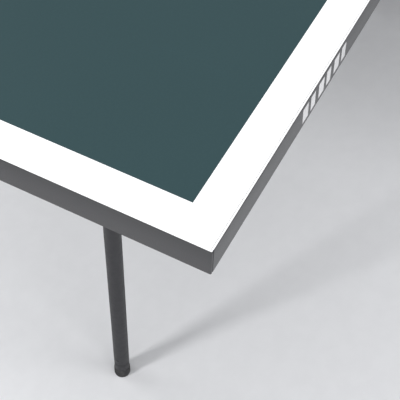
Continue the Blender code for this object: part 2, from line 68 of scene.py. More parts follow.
# ------------------------------------------------------------------ node helpers
class Nodes:
    """A material's node tree, with short calls for the nodes used here."""

    def __init__(self, name):
        self.m = bpy.data.materials.new(name)
        self.m.use_nodes = True
        self.t = self.m.node_tree
        self.out = self.t.nodes["Material Output"]
        self.b = self.t.nodes["Principled BSDF"]
        self.coord = self.t.nodes.new("ShaderNodeTexCoord").outputs["Object"]

    def link(self, a, b):
        self.t.links.new(a, b)

    def node(self, kind, **values):
        n = self.t.nodes.new(kind)
        for k, v in values.items():
            setattr(n, k, v)
        return n

    def scaled(self, x, y, z, rot=(0, 0, 0)):
        n = self.node("ShaderNodeMapping")
        n.inputs["Scale"].default_value = (x, y, z)
        n.inputs["Rotation"].default_value = rot
        self.link(self.coord, n.inputs["Vector"])
        return n.outputs["Vector"]

    def noise(self, scale, detail=3.0, rough=0.55, vector=None, distort=0.0):
        n = self.node("ShaderNodeTexNoise")
        n.inputs["Scale"].default_value = scale
        n.inputs["Detail"].default_value = detail
        n.inputs["Roughness"].default_value = rough
        n.inputs["Distortion"].default_value = distort
        self.link(vector or self.coord, n.inputs["Vector"])
        return n.outputs["Fac"]

    def voronoi(self, scale, feature="F1", vector=None, metric="EUCLIDEAN"):
        n = self.node("ShaderNodeTexVoronoi", feature=feature)
        if feature != "DISTANCE_TO_EDGE":
            n.distance = metric
        n.inputs["Scale"].default_value = scale
        self.link(vector or self.coord, n.inputs["Vector"])
        return n.outputs["Distance"]

    def ramp(self, value, lo, hi, a=0.0, b=1.0, smooth=True):
        n = self.node("ShaderNodeMapRange", interpolation_type="SMOOTHSTEP" if smooth else "LINEAR")
        n.inputs["From Min"].default_value, n.inputs["From Max"].default_value = lo, hi
        n.inputs["To Min"].default_value, n.inputs["To Max"].default_value = a, b
        self.link(value, n.inputs["Value"])
        return n.outputs["Result"]

    def math(self, op, a, b=None, clamp=False):
        n = self.node("ShaderNodeMath", operation=op, use_clamp=clamp)
        for i, v in enumerate((a, b)):
            if v is None:
                continue
            if isinstance(v, (int, float)):
                n.inputs[i].default_value = v
            else:
                self.link(v, n.inputs[i])
        return n.outputs[0]

    def mix(self, fac, a, b):
        n = self.node("ShaderNodeMix", data_type="RGBA")
        for socket, v in ((n.inputs["Factor"], fac), (n.inputs["A"], a), (n.inputs["B"], b)):
            if isinstance(v, (int, float)):
                socket.default_value = v
            elif isinstance(v, tuple):
                socket.default_value = (*v, 1)
            else:
                self.link(v, socket)
        return n.outputs["Result"]

    def bump(self, height, strength, distance, normal=None):
        n = self.node("ShaderNodeBump")
        n.inputs["Strength"].default_value = strength
        n.inputs["Distance"].default_value = distance
        self.link(height, n.inputs["Height"])
        if normal is not None:
            self.link(normal, n.inputs["Normal"])
        return n.outputs["Normal"]

    def edges(self, radius, lo=0.80, hi=0.995):
        """1 on sharp convex edges and 0 on flats, from the rounded normal."""
        bev = self.node("ShaderNodeBevel", samples=4)
        bev.inputs["Radius"].default_value = radius
        geo = self.node("ShaderNodeNewGeometry")
        dot = self.node("ShaderNodeVectorMath", operation="DOT_PRODUCT")
        self.link(bev.outputs["Normal"], dot.inputs[0])
        self.link(geo.outputs["Normal"], dot.inputs[1])
        return self.ramp(dot.outputs["Value"], hi, lo)

    def set(self, colour=None, rough=None, normal=None, metallic=None, spec=None, coat=None, coat_rough=None, sheen=None, alpha=None):
        for socket, v in (("Base Color", colour), ("Roughness", rough), ("Normal", normal), ("Metallic", metallic),
                          ("Specular IOR Level", spec), ("Coat Weight", coat), ("Coat Roughness", coat_rough), ("Sheen Weight", sheen), ("Alpha", alpha)):
            if v is None:
                continue
            s = self.b.inputs[socket]
            if isinstance(v, (int, float)):
                s.default_value = v
            elif isinstance(v, tuple):
                s.default_value = (*v, 1)
            else:
                self.link(v, s)
        return self.m


def shade(c, k):
    return tuple(min(1.0, v * k) for v in c)


def table_paint(name, colour, rough, speck):
    """Satin acrylic table paint: faint roller texture, cloudy gloss, a few dull scuffs from balls and bats."""
    n = Nodes(name)
    cloud = n.noise(2.2, 4, 0.6)
    fine = n.noise(900, 2)
    grain = n.noise(3200, 2, 0.6)
    scuff = n.ramp(n.noise(60, 5, 0.7, n.scaled(1.0, 0.18, 1.0, (0, 0, 0.5)), 0.6), 0.63, 0.74)
    base = n.mix(n.ramp(cloud, 0.3, 0.7), shade(colour, 0.955), shade(colour, 1.05))
    base = n.mix(n.math("MULTIPLY", n.ramp(fine, 0.35, 0.75), speck), base, shade(colour, 1.16))
    base = n.mix(n.math("MULTIPLY", scuff, 0.10), base, shade(colour, 1.5))
    r = n.math("ADD", n.math("MULTIPLY", n.ramp(cloud, 0.25, 0.75), 0.07), n.math("ADD", n.math("MULTIPLY", scuff, 0.10), rough - 0.03))
    return n.set(base, r, n.bump(grain, 0.16, 0.00008, n.bump(fine, 0.10, 0.0002)), spec=0.16)


def powder(name, colour, rough=0.5, wear=(0.30, 0.30, 0.31)):
    """Powder-coated steel: orange peel, soft colour drift, rubbed edges and small chips."""
    n = Nodes(name)
    peel = n.noise(1500, 2, 0.5)
    pebble = n.noise(5200, 1)
    drift = n.noise(7, 4)
    rub = n.noise(190, 5, 0.65)
    edge = n.math("MULTIPLY", n.edges(0.0009), n.ramp(rub, 0.46, 0.66))
    chip = n.ramp(n.noise(420, 3, 0.7, None, 0.4), 0.74, 0.77)
    base = n.mix(n.ramp(drift, 0.3, 0.7), shade(colour, 0.90), shade(colour, 1.12))
    base = n.mix(n.math("MULTIPLY", n.ramp(pebble, 0.4, 0.8), 0.18), base, shade(colour, 1.6))
    worn = n.math("MAXIMUM", n.math("MULTIPLY", edge, 0.55), n.math("MULTIPLY", chip, 0.22))
    base = n.mix(worn, base, wear)
    r = n.math("ADD", n.math("MULTIPLY", n.ramp(rub, 0.3, 0.8), 0.12), rough - 0.05)
    return n.set(base, r, n.bump(pebble, 0.10, 0.00006, n.bump(peel, 0.22, 0.00016)), spec=0.34)


def zinc(name, colour=(0.50, 0.51, 0.53), rough=0.34, drawn=(1.0, 1.0, 0.05)):
    """Bright zinc plate: fine drawn lines, mottled passivation, dull handling marks."""
    n = Nodes(name)
    lines = n.noise(900, 2, 0.6, n.scaled(*drawn))
    mottle = n.noise(120, 4, 0.65)
    stain = n.ramp(n.noise(35, 4, 0.6), 0.5, 0.75)
    base = n.mix(n.ramp(mottle, 0.3, 0.7), shade(colour, 0.86), shade(colour, 1.1))
    base = n.mix(n.math("MULTIPLY", stain, 0.22), base, (0.36, 0.33, 0.28))
    r = n.math("ADD", n.math("MULTIPLY", n.ramp(mottle, 0.3, 0.7), 0.16), n.math("ADD", n.math("MULTIPLY", stain, 0.12), rough - 0.06))
    return n.set(base, r, n.bump(lines, 0.10, 0.0001), metallic=0.92)


def plastic(name, colour, rough=0.42, grain=2600, bump=0.18, dust=0.06):
    """Moulded plastic: spark-eroded grain, faint flow clouds, dust in the grain, paler rubbed edges."""
    n = Nodes(name)
    g = n.noise(grain, 2, 0.6)
    flow = n.noise(22, 3, 0.5)
    scratch = n.ramp(n.noise(300, 3, 0.6, n.scaled(1.0, 0.06, 1.0, (0.3, 0.2, 0.7))), 0.66, 0.74)
    base = n.mix(n.ramp(flow, 0.3, 0.7), shade(colour, 0.90), shade(colour, 1.10))
    base = n.mix(n.math("MULTIPLY", n.ramp(g, 0.35, 0.7), dust), base, (0.42, 0.41, 0.39))
    base = n.mix(n.math("MULTIPLY", n.math("MULTIPLY", n.edges(0.0007), n.ramp(flow, 0.35, 0.65)), 0.18), base, (0.45, 0.44, 0.43))
    base = n.mix(n.math("MULTIPLY", scratch, 0.12), base, (0.5, 0.5, 0.5))
    r = n.math("ADD", n.math("MULTIPLY", n.ramp(flow, 0.3, 0.7), 0.10), rough - 0.03)
    return n.set(base, r, n.bump(g, bump, 0.00008), spec=0.45)


def rubber(name, colour, rough=0.78):
    """Moulded rubber: matt, dusty, lightly pitted."""
    n = Nodes(name)
    pit = n.noise(1800, 3, 0.65)
    dust = n.ramp(n.noise(45, 4, 0.65), 0.42, 0.72)
    base = n.mix(n.math("MULTIPLY", dust, 0.30), colour, (0.19, 0.18, 0.17))
    base = n.mix(n.math("MULTIPLY", n.ramp(pit, 0.45, 0.7), 0.25), base, shade(colour, 0.5))
    r = n.math("ADD", n.math("MULTIPLY", dust, 0.12), rough - 0.06)
    return n.set(base, r, n.bump(pit, 0.30, 0.00014), spec=0.25)


def band_plastic(name, colour):
    """Grey ABS edge banding: very fine pressed grain along the strip, trimming marks."""
    n = Nodes(name)
    grain = n.noise(2400, 2, 0.6)
    along = n.noise(650, 3, 0.6, n.scaled(0.05, 0.05, 1.0))
    drift = n.noise(5, 3)
    base = n.mix(n.ramp(drift, 0.3, 0.7), shade(colour, 0.95), shade(colour, 1.05))
    base = n.mix(n.math("MULTIPLY", n.ramp(along, 0.45, 0.75), 0.10), base, shade(colour, 1.5))
    base = n.mix(n.math("MULTIPLY", n.ramp(grain, 0.4, 0.75), 0.10), base, shade(colour, 0.6))
    r = n.math("ADD", n.math("MULTIPLY", n.ramp(grain, 0.3, 0.7), 0.10), 0.42)
    return n.set(base, r, n.bump(grain, 0.16, 0.00007), spec=0.40)


def cloth(name, colour):
    """Woven tape: fine crossed yarns, soft soiling."""
    n = Nodes(name)
    warp = n.node("ShaderNodeTexWave", wave_type="BANDS", bands_direction="Y")
    warp.inputs["Scale"].default_value = 620
    n.link(n.coord, warp.inputs["Vector"])
    weft = n.node("ShaderNodeTexWave", wave_type="BANDS", bands_direction="Z")
    weft.inputs["Scale"].default_value = 700
    n.link(n.coord, weft.inputs["Vector"])
    weave = n.math("MULTIPLY", warp.outputs["Fac"], weft.outputs["Fac"])
    soil = n.noise(30, 4, 0.6)
    base = n.mix(n.ramp(soil, 0.35, 0.75), colour, shade(colour, 0.88))
    base = n.mix(n.math("MULTIPLY", weave, 0.25), base, shade(colour, 0.7))
    return n.set(base, 0.86, n.bump(weave, 0.35, 0.00015), spec=0.2, sheen=0.15)


M = {
    "green": table_paint("playing_surface_paint", (0.0250, 0.0535, 0.0590), 0.58, 0.35),
    "white": table_paint("white_line_paint", (0.86, 0.865, 0.87), 0.50, 0.10),
    "under": table_paint("underside_paint", (0.030, 0.040, 0.042), 0.70, 0.30),
    "band": band_plastic("edge_band_grey", (0.068, 0.069, 0.0725)),
    # end strips: the same grey banding painted darker, as painted shade on the faces turned from the light
    "band_end_painted_shade": band_plastic("edge_band_grey_end_painted_shade", (0.034, 0.034, 0.0365)),
    # darker grey on the strip's top rounding, just under the white: painted shade of the rounded edge
    "band_top_painted_shade": band_plastic("edge_band_shoulder_painted_shade", (0.038, 0.038, 0.040)),
    "band_dark": band_plastic("edge_band_joint", (0.040, 0.040, 0.043)),
    "mark": plastic("pale_print", (0.60, 0.60, 0.61), 0.5, dust=0.0),
    "frame": powder("frame_powder_coat", (0.030, 0.030, 0.033), 0.50),
    "leg": powder("leg_powder_coat", (0.019, 0.019, 0.0215), 0.50),
    "zinc": zinc("zinc_plate"),
    "rod": zinc("drawn_rod_zinc", (0.46, 0.47, 0.49), 0.32, (0.02, 1.0, 1.0)),
    "black": plastic("black_plastic", (0.018, 0.018, 0.019), 0.46),
    "foot": rubber("foot_rubber_look", (0.028, 0.028, 0.030)),
    "tyre": rubber("wheel_tread_rubber", (0.035, 0.035, 0.037), 0.70),
    "hub": plastic("wheel_hub_plastic", (0.20, 0.20, 0.21), 0.40),
    "net": plastic("net_cord_dark", (0.020, 0.026, 0.030), 0.75, 4000, 0.3, 0.12),
    "tape": cloth("net_tape_white", (0.78, 0.79, 0.80)),
    "tape_dark": cloth("net_hem_dark", (0.025, 0.032, 0.036)),
    "thread": cloth("tape_thread", (0.66, 0.67, 0.68)),
    "red": plastic("red_plastic_look", (0.52, 0.028, 0.018), 0.34, dust=0.02),
}


# ------------------------------------------------------------------ mesh helpers
AXES = {"X": Matrix(((0, 0, 1), (1, 0, 0), (0, 1, 0))).to_4x4(), "Y": Matrix(((0, 1, 0), (0, 0, 1), (1, 0, 0))).to_4x4(), "Z": Matrix.Identity(4)}


class Piece:
    """One closed shape after another, gathered into one mesh in the row frame."""

    def __init__(self, name):
        self.name, self.bm, self.mats = name, bmesh.new(), []

    def slot(self, key):
        if key not in self.mats:
            self.mats.append(key)
        return self.mats.index(key)

    def take(self, bm, key, matrix=None):
        if matrix is not None:
            bm.transform(matrix)
        bmesh.ops.recalc_face_normals(bm, faces=bm.faces)
        i = self.slot(key)
        for f in bm.faces:
            f.material_index = i
        me = bpy.data.meshes.new("tmp")
        bm.to_mesh(me)
        bm.free()
        self.bm.from_mesh(me)
        bpy.data.meshes.remove(me)
        return self

    def box(self, key, lo, hi, bevel=0.0006, seg=2):
        lo, hi = Vector([min(a, b) for a, b in zip(lo, hi)]), Vector([max(a, b) for a, b in zip(lo, hi)])
        bm = bmesh.new()
        bmesh.ops.create_cube(bm, size=1)
        bm.transform(Matrix.Translation((lo + hi) / 2) @ Matrix.Diagonal((*(hi - lo), 1)))
        if bevel:
            bmesh.ops.bevel(bm, geom=list(bm.edges), offset=bevel, segments=seg, affect="EDGES", profile=0.5)
        return self.take(bm, key)

    def prism(self, key, outline, axis, lo, hi, bevel=0.0006, seg=2, sharp=30):
        """outline is in the two row axes other than axis: (y, z), (x, z) or (x, y)."""
        lo, hi = min(lo, hi), max(lo, hi)
        bm = bmesh.new()

        def at(p, h):
            a, b = p
            return {"X": (h, a, b), "Y": (a, h, b), "Z": (a, b, h)}[axis]

        low = [bm.verts.new(at(p, lo)) for p in outline]
        high = [bm.verts.new(at(p, hi)) for p in outline]
        caps = [bm.faces.new(low), bm.faces.new(list(reversed(high)))]
        for i in range(len(outline)):
            j = (i + 1) % len(outline)
            bm.faces.new((low[i], high[i], high[j], low[j]))
        bmesh.ops.recalc_face_normals(bm, faces=bm.faces)
        if bevel:
            rim = [e for e in bm.edges if any(f in caps for f in e.link_faces) or e.calc_face_angle(0) > math.radians(sharp)]
            bmesh.ops.bevel(bm, geom=rim, offset=bevel, segments=seg, affect="EDGES", profile=0.5, clamp_overlap=True)
        return self.take(bm, key)

    def lathe(self, key, profile, axis, centre, segs=48, start=0.0):
        """Turned shape: (radius, height along the axis) points, from one end to the other; off-axis ends are joined round."""
        bm = bmesh.new()
        rings = []
        for r, h in profile:
            if r < 1e-7:
                rings.append([bm.verts.new((0, 0, h))])
            else:
                rings.append([bm.verts.new((r * math.cos(start + 2 * math.pi * k / segs), r * math.sin(start + 2 * math.pi * k / segs), h)) for k in range(segs)])
        pairs = list(zip(rings, rings[1:]))
        if len(rings[0]) > 1 and len(rings[-1]) > 1:
            pairs.append((rings[-1], rings[0]))
        for a, b in pairs:
            for k in range(segs):
                q = (k + 1) % segs
                loop = [a[k % len(a)], a[q % len(a)], b[q % len(b)], b[k % len(b)]]
                loop = [v for i, v in enumerate(loop) if v not in loop[:i]]
                if len(loop) > 2:
                    bm.faces.new(loop)
        return self.take(bm, key, Matrix.Translation(centre) @ AXES[axis])

    def rod(self, key, axis, centre, r, length, edge=0.0006, segs=32):
        """A bar with rounded ends."""
        h = length / 2
        e = min(edge, r * 0.9, h * 0.9)
        c = e * 0.293
        prof = [(0, -h), (r - e, -h), (r - c, -h + c), (r, -h + e), (r, h - e), (r - c, h - c), (r - e, h), (0, h)]
        return self.lathe(key, prof, axis, centre, segs)

    def sweep(self, key, points, r, sides=24, cap=True, round_end=0.0):
        pts = [Vector(p) for p in points]
        bm = bmesh.new()
        tangent = [(b - a).normalized() for a, b in zip(pts, pts[1:])]
        dirs = [tangent[0]] + [(a + b).normalized() for a, b in zip(tangent, tangent[1:])] + [tangent[-1]]
        ref = Vector((0, 0, 1)) if abs(dirs[0].z) < 0.9 else Vector((1, 0, 0))
        u = dirs[0].cross(ref).normalized()
        rings = []
        for p, d in zip(pts, dirs):
            u = (u - d * u.dot(d)).normalized()
            v = d.cross(u)
            rings.append([bm.verts.new(p + (u * math.cos(2 * math.pi * k / sides) + v * math.sin(2 * math.pi * k / sides)) * r) for k in range(sides)])
        for a, b in zip(rings, rings[1:]):
            for k in range(sides):
                q = (k + 1) % sides
                bm.faces.new((a[k], a[q], b[q], b[k]))
        if cap:
            for ring, at, d in ((rings[0], pts[0], -dirs[0]), (rings[-1], pts[-1], dirs[-1])):
                last = ring
                if round_end:
                    for s in (0.35, 0.7, 0.92):
                        k = math.sqrt(1 - s * s)
                        nxt = [bm.verts.new(at + (v.co - at) * k + d * round_end * s) for v in ring]
                        for i in range(sides):
                            q = (i + 1) % sides
                            bm.faces.new((last[i], last[q], nxt[q], nxt[i]))
                        last = nxt
                bm.faces.new(last)
        return self.take(bm, key)

    def done(self, body, *replaces, angle=32, cad_slot=None, bevel=None):
        me = bpy.data.meshes.new(self.name)
        self.bm.to_mesh(me)
        self.bm.free()
        o = bpy.data.objects.new(self.name, me)
        SCENE.collection.objects.link(o)
        for key in self.mats:
            me.materials.append(M[key])
        me.shade_smooth()
        me.set_sharp_from_angle(angle=math.radians(angle))
        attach(o, body)
        if replaces:
            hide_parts(*replaces)
        return o


def arc(cx, cz, r, a0, a1, steps=10):
    return [(cx + r * math.cos(math.radians(a0 + (a1 - a0) * i / steps)), cz + r * math.sin(math.radians(a0 + (a1 - a0) * i / steps))) for i in range(steps + 1)]


def bent(points, radius, steps=8):
    """Polyline through the corners with each inner corner turned at this radius."""
    pts = [Vector(p) for p in points]
    out = [pts[0]]
    for before, corner, after in zip(pts, pts[1:], pts[2:]):
        a, b = (before - corner).normalized(), (after - corner).normalized()
        half = a.angle(b) / 2
        back = radius / math.tan(half)
        centre = corner + (a + b).normalized() * (radius / math.sin(half))
        u, v = corner + a * back - centre, corner + b * back - centre
        total = u.angle(v)
        for i in range(steps + 1):
            t = i / steps
            out.append(centre + (u * math.sin((1 - t) * total) + v * math.sin(t * total)) / math.sin(total))
    out.append(pts[-1])
    return out


# ------------------------------------------------------------------ the two boards
BAND = 0.00118       # strip as it shows, with a hairline seam to the board
EDGE = 0.00022       # eased edge of the paint
for half, sx in HALVES:
    bm = bmesh.new()
    x_out, y_out, x_in = L2 - BAND - 0.00008, W2 - BAND - 0.00008, IN_X + BAND + 0.00008
    xs = [x_in, x_in + EDGE, L2 - LINE_W, x_out - EDGE, x_out]
    ys = [-y_out, -y_out + EDGE, -(W2 - LINE_W), -CENTRE_LINE / 2, CENTRE_LINE / 2, W2 - LINE_W, y_out - EDGE, y_out]
    top = {}
    for i, x in enumerate(xs):
        for j, y in enumerate(ys):
            low = i in (0, len(xs) - 1) or j in (0, len(ys) - 1)
            top[i, j] = bm.verts.new((sx * x, y, TOP - (EDGE if low else 0)))
    bottom = {}
    for i, j in top:
        if i in (0, len(xs) - 1) or j in (0, len(ys) - 1):
            bottom[i, j] = bm.verts.new((sx * xs[i], ys[j], UNDER))
    ring = [(i, 0) for i in range(len(xs))] + [(len(xs) - 1, j) for j in range(1, len(ys))] + \
           [(i, len(ys) - 1) for i in range(len(xs) - 2, -1, -1)] + [(0, j) for j in range(len(ys) - 2, 0, -1)]
    for i in range(len(xs) - 1):
        for j in range(len(ys) - 1):
            f = bm.faces.new((top[i, j], top[i + 1, j], top[i + 1, j + 1], top[i, j + 1]))
            line = i >= 2 or j in (0, 1, 5, 6) or j == 3
            f.material_index = 1 if line else 0
    for a, b in zip(ring, ring[1:] + ring[:1]):
        f = bm.faces.new((top[a], bottom[a], bottom[b], top[b]))
        f.material_index = 0 if a[0] == 0 and b[0] == 0 else 1
    f = bm.faces.new([bottom[k] for k in ring])
    f.material_index = 2
    bmesh.ops.recalc_face_normals(bm, faces=bm.faces)
    me = bpy.data.meshes.new(f"table_top_{half}")
    bm.to_mesh(me)
    bm.free()
    for key in ("green", "white", "under"):
        me.materials.append(M[key])
    board = bpy.data.objects.new(f"table_top_{half}", me)
    SCENE.collection.objects.link(board)
    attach(board, f"half_{half}")
    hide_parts(f"board_{half}")

    # edge banding: four strips round the board, the tops painted white with the line, a fine joint beside each corner
    R, steps, DEEP = 0.0009, 7, 0.0004
    loop = []
    for n_c, (cx, cy, a0) in enumerate(((x_in - BAND + R, -W2 + R, 180), (L2 - R, -W2 + R, 270), (L2 - R, W2 - R, 0), (x_in - BAND + R, W2 - R, 90))):
        arc_pts = []
        for k in range(steps + 1):
            a = math.radians(a0 + 90 * k / steps)
            arc_pts.append([(cx, cy), (math.cos(a), math.sin(a)), 0.0, n_c])
        if n_c == 2:        # the joint lies on the long side, just past the corner
            for along, deep in ((0.00004, 0.0), (0.00012, DEEP), (0.00072, DEEP), (0.00080, 0.0)):
                arc_pts.append([(cx - along, cy), (0.0, 1.0), deep, 9 if deep else n_c])
        if n_c == 1:
            for along, deep in ((0.00080, 0.0), (0.00072, DEEP), (0.00012, DEEP), (0.00004, 0.0)):
                loop.append([(cx - along, cy), (0.0, -1.0), deep, 9 if deep else n_c])
        loop += arc_pts
    LOW = UNDER - 0.0004
    profile = [(BAND, LOW + 0.0001), (0.00034, LOW), (0.00020, LOW), (0.00006, LOW + 0.00006), (0.0, LOW + 0.00018), (0.0, TOP - 0.00120),
               (0.00002, TOP - 0.00080), (0.0001, TOP - 0.00022), (0.00022, TOP - 0.00007), (0.00042, TOP), (BAND - 0.00012, TOP), (BAND, TOP - 0.0002)]
    bm = bmesh.new()
    rings = []
    for (cx, cy), (nx, ny), deep, kind in loop:
        row = []
        for k, (d, z) in enumerate(profile):
            reach = R - max(d, deep if 2 <= k <= 8 else 0.0)
            row.append(bm.verts.new((sx * (cx + nx * reach), cy + ny * reach, z)))
        rings.append(row)
    n = len(profile)
    count = len(rings)
    for i in range(count):
        a, b = rings[i], rings[(i + 1) % count]
        (c0, n0, d0, k0), (c1, n1, d1, k1) = loop[i], loop[(i + 1) % count]
        groove = d0 > 0 or d1 > 0
        # end marks the end strips; their outer faces take the darker grey, which is painted shade
        end = abs(n0[0]) > 0.72 and abs(n1[0]) > 0.60
        for k in range(n):
            q = (k + 1) % n
            f = bm.faces.new((a[k], a[q], b[q], b[k]))
            # faces 5 to 7 lie on the top rounding and take the darker grey as painted shade
            f.material_index = (5 if k0 in (3, 0) and k1 in (3, 0) else 1) if k in (8, 9, 10) else 2 if groove else 4 if k in (5, 6, 7) else 3 if end else 0
    bmesh.ops.recalc_face_normals(bm, faces=bm.faces)
    me = bpy.data.meshes.new(f"edge_banding_{half}")
    bm.to_mesh(me)
    bm.free()
    for key in ("band", "white", "band_dark", "band_end_painted_shade", "band_top_painted_shade", "green"):
        me.materials.append(M[key])
    me.shade_smooth()
    me.set_sharp_from_angle(angle=math.radians(40))
    band = bpy.data.objects.new(f"edge_banding_{half}", me)
    SCENE.collection.objects.link(band)
    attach(band, f"half_{half}")
    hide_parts(f"edge_band_{half}")

    # plain printed dashes on the long edge, beside the outer corner
    dash = Piece(f"edge_dashes_{half}")
    y = sx * W2
    for k in range(6):
        x = 1.2710 - k * 0.0098
        wide = 0.0054 if k % 2 else 0.0066
        dash.prism("mark", [(sx * x, UNDER + 0.0026), (sx * (x - wide), UNDER + 0.0026), (sx * (x - wide + 0.0016), UNDER + 0.0139), (sx * (x + 0.0016), UNDER + 0.0139)],
                   "Y", y, y + sx * 0.00006, bevel=0)
    dash.done(f"half_{half}")

# ------------------------------------------------------------------ small hardware
def ring(cx, cz, r, n, start=0.0):
    return [(cx + r * math.cos(start + 2 * math.pi * k / n), cz + r * math.sin(start + 2 * math.pi * k / n)) for k in range(n)]


def hexagon(p, key, c, r, y0, y1, chamfer=0.0006, turn=0.2):
    """Hexagon head or nut along Y, with the corners turned off at both faces."""
    x, z = c
    bm = bmesh.new()
    lo, hi = min(y0, y1), max(y0, y1)
    n, rows = 48, []
    flat = r * math.cos(math.pi / 6)

    def reach(a):
        k = (a - turn) % (math.pi / 3) - math.pi / 6
        return flat / math.cos(k)

    def row(limit, y):
        return [bm.verts.new((x + min(reach(2 * math.pi * k / n), limit) * math.cos(2 * math.pi * k / n), y,
                              z + min(reach(2 * math.pi * k / n), limit) * math.sin(2 * math.pi * k / n))) for k in range(n)]

    rows = [row(flat * 0.90, lo), row(flat * 0.985, lo + chamfer * 0.35), row(flat * 1.06, lo + chamfer * 0.8), row(r, lo + chamfer * 1.3),
            row(r, hi - chamfer * 1.3), row(flat * 1.06, hi - chamfer * 0.8), row(flat * 0.985, hi - chamfer * 0.35), row(flat * 0.90, hi)]
    for a, b in zip(rows, rows[1:]):
        for k in range(n):
            q = (k + 1) % n
            bm.faces.new((a[k], a[q], b[q], b[k]))
    bm.faces.new(rows[0])
    bm.faces.new(list(reversed(rows[-1])))
    return p.take(bm, key)


def thread(r, h0, h1, pitch, depth):
    """Profile points of a thread, turned as rings."""
    n = max(1, int((h1 - h0) / pitch))
    out = []
    for k in range(n):
        z = h0 + k * pitch
        out += [(r - depth, z), (r - depth * 0.15, z + pitch * 0.38), (r, z + pitch * 0.5), (r - depth * 0.15, z + pitch * 0.62)]
    return out + [(r - depth, h0 + n * pitch)]


def bead(p, key, centre, axis, ring_r, r=0.0018, seed=0, segs=56):
    """Weld bead: a closed ring with the ripple of a hand weld, around the axis."""
    bm = bmesh.new()
    rows = []
    for k in range(segs):
        a = 2 * math.pi * k / segs
        swell = r * (1 + 0.13 * math.sin(a * 17 + seed) + 0.07 * math.sin(a * 5 + seed * 2.3))
        row = []
        for j in range(8):
            b = 2 * math.pi * j / 8
            rr = ring_r + swell * math.cos(b)
            row.append(bm.verts.new((rr * math.cos(a), rr * math.sin(a), swell * math.sin(b))))
        rows.append(row)
    for a, b in zip(rows, rows[1:] + rows[:1]):
        for j in range(8):
            q = (j + 1) % 8
            bm.faces.new((a[j], a[q], b[q], b[j]))
    return p.take(bm, key, Matrix.Translation(centre) @ AXES[axis])


def weld_line(p, key, a, b, r=0.0016, seed=0):
    """Straight fillet weld with ripples, ends run out."""
    a, b = Vector(a), Vector(b)
    n = max(6, int((b - a).length / 0.0012))
    d = (b - a).normalized()
    u = d.cross(Vector((0, 0, 1)) if abs(d.z) < 0.9 else Vector((1, 0, 0))).normalized()
    v = d.cross(u)
    bm = bmesh.new()
    rows = []
    for i in range(n + 1):
        t = i / n
        size = r * (0.25 if i in (0, n) else 1.0) * (1 + 0.16 * math.sin(i * 2.1 + seed))
        c = a.lerp(b, t)
        rows.append([bm.verts.new(c + (u * math.cos(2 * math.pi * j / 8) + v * math.sin(2 * math.pi * j / 8)) * size) for j in range(8)])
    for p0, p1 in zip(rows, rows[1:]):
        for j in range(8):
            q = (j + 1) % 8
            bm.faces.new((p0[j], p0[q], p1[q], p1[j]))
    bm.faces.new(rows[0])
    bm.faces.new(rows[-1])
    return p.take(bm, key)


def tube(p, key, axis, centre, r, wall, lo, hi, segs=48, ease=0.0003):
    """Open tube: outside, both ends, inside."""
    i = r - wall
    return p.lathe(key, [(i, lo), (r - ease, lo), (r, lo + ease), (r, hi - ease), (r - ease, hi), (i, hi)], axis, centre, segs)


def bolt(p, key, x, y, z, sy, r, head_r, out, inn, head_h, tail):
    """Bolt along Y: flanged head outside, washer and locking nut inside. out and inn are how far the faces stand from y."""
    hexagon(p, key, (x, z), head_r, y + sy * (out + 0.0009), y + sy * (out + head_h), turn=0.2 + x)
    p.rod(key, "Y", (x, y + sy * (out + 0.00045), z), head_r * 1.02, 0.0009, 0.0002, 40)
    p.rod(key, "Y", (x, y - sy * (inn + 0.0004), z), head_r * 1.0, 0.0008, 0.0002, 40)
    hexagon(p, key, (x, z), head_r, y - sy * (inn + 0.0008), y - sy * (inn + head_h - 0.0012), turn=0.7 + z)
    p.lathe(key, [(0, inn + head_h - 0.0014), (head_r * 0.80, inn + head_h - 0.0014), (head_r * 0.78, inn + head_h - 0.0004), (head_r * 0.62, inn + head_h), (0, inn + head_h)] if sy < 0 else
            [(0, -(inn + head_h)), (head_r * 0.62, -(inn + head_h)), (head_r * 0.78, -(inn + head_h - 0.0004)), (head_r * 0.80, -(inn + head_h - 0.0014)), (0, -(inn + head_h - 0.0014))], "Y", (x, y, z), 32)
    lo, hi = (-(inn + tail), out + 0.001) if sy > 0 else (-(out + 0.001), inn + tail)
    p.rod(key, "Y", (x, y + (lo + hi) / 2, z), r, hi - lo, 0.0005, 24)


